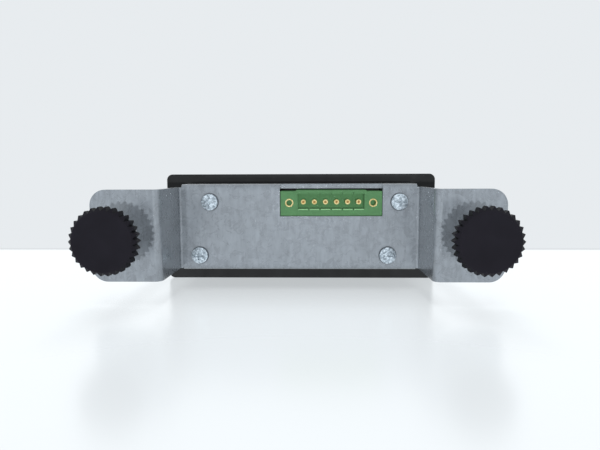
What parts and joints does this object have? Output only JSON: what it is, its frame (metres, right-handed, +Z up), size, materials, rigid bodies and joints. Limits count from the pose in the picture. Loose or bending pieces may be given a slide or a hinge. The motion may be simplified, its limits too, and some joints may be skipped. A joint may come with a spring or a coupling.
{
  "type": "panel mounted battery monitor",
  "caption": "Flush-mount battery monitor with a black bezel, folded steel rear bracket, green pluggable header and knurled clamp-screw knobs.",
  "frame": {"origin": "centre of the bezel's rear face, in the plane that seats on the panel", "axes": "+X along the bezel, +Y out of the panel towards the viewer of the display, +Z up"},
  "size_m": [0.1244, 0.067, 0.0402],
  "materials": {
    "black_moulding": "fine matt texture",
    "display_window": "tinted, polished",
    "display_glass": "liquid crystal cell",
    "white_plastic": "light guide",
    "plated_pins": "tin plated",
    "circuit_board": "solder mask",
    "chip_black": "moulded epoxy",
    "capacitor_can": "drawn can",
    "header_green": "moulded, slightly glossy",
    "brass": "turned",
    "plated_steel": "zinc plated",
    "galvanised_steel": "galvanised sheet, mottled",
    "zinc_screws": "bright zinc",
    "foot_nylon": "moulded",
    "knob_black": "fine matt",
    "key_rubber": "soft matt"
  },
  "bodies": {
    "chassis": {"front_bezel": "black_moulding", "display_window": "display_window", "display_glass": "display_glass", "display_backlight": "white_plastic", "display_pins": "plated_pins", "circuit_board": "circuit_board", "microcontroller": "chip_black", "sense_amplifiers": "chip_black", "voltage_regulator": "chip_black", "capacitors": "capacitor_can", "key_switches": "chip_black", "header_housing": "header_green", "header_pins": "brass", "header_inserts": "brass", "board_standoffs": "plated_steel", "rear_bracket": "galvanised_steel", "bracket_screws": "zinc_screws", "clinch_nuts": "plated_steel"},
    "left_clamp_foot": {"left_foot": "foot_nylon"},
    "left_clamp_screw": {"left_stud": "plated_steel", "left_knob": "knob_black"},
    "right_clamp_foot": {"right_foot": "foot_nylon"},
    "right_clamp_screw": {"right_stud": "plated_steel", "right_knob": "knob_black"},
    "menu_key": {"menu_key": "key_rubber"},
    "down_key": {"down_key": "key_rubber"},
    "up_key": {"up_key": "key_rubber"},
    "enter_key": {"enter_key": "key_rubber"}
  },
  "joints": [
    {"name": "left_clamp_travel", "type": "slide", "parent": "chassis", "child": "left_clamp_foot", "axis": [0, 1, 0], "range_m": [-0.0084, 0.0042]},
    {"name": "left_knob_turn", "type": "hinge", "parent": "left_clamp_foot", "child": "left_clamp_screw", "pos_m": [-0.0507, -0.006, 0.0025], "axis": [0, 1, 0], "range_deg": [-4320, 2160]},
    {"name": "right_clamp_travel", "type": "slide", "parent": "chassis", "child": "right_clamp_foot", "axis": [0, 1, 0], "range_m": [-0.0084, 0.0042]},
    {"name": "right_knob_turn", "type": "hinge", "parent": "right_clamp_foot", "child": "right_clamp_screw", "pos_m": [0.0507, -0.006, 0.0025], "axis": [0, 1, 0], "range_deg": [-4320, 2160]},
    {"name": "menu_key_press", "type": "slide", "parent": "chassis", "child": "menu_key", "axis": [0, -1, 0], "range_m": [0, 0.0005], "stiffness_N_per_m": 1000},
    {"name": "down_key_press", "type": "slide", "parent": "chassis", "child": "down_key", "axis": [0, -1, 0], "range_m": [0, 0.0005], "stiffness_N_per_m": 1000},
    {"name": "up_key_press", "type": "slide", "parent": "chassis", "child": "up_key", "axis": [0, -1, 0], "range_m": [0, 0.0005], "stiffness_N_per_m": 1000},
    {"name": "enter_key_press", "type": "slide", "parent": "chassis", "child": "enter_key", "axis": [0, -1, 0], "range_m": [0, 0.0005], "stiffness_N_per_m": 1000}
  ],
  "couplings": [
    {"joint": "left_knob_turn", "follows": "left_clamp_travel", "rad_per_m": 8976},
    {"joint": "right_knob_turn", "follows": "right_clamp_travel", "rad_per_m": 8976}
  ]
}
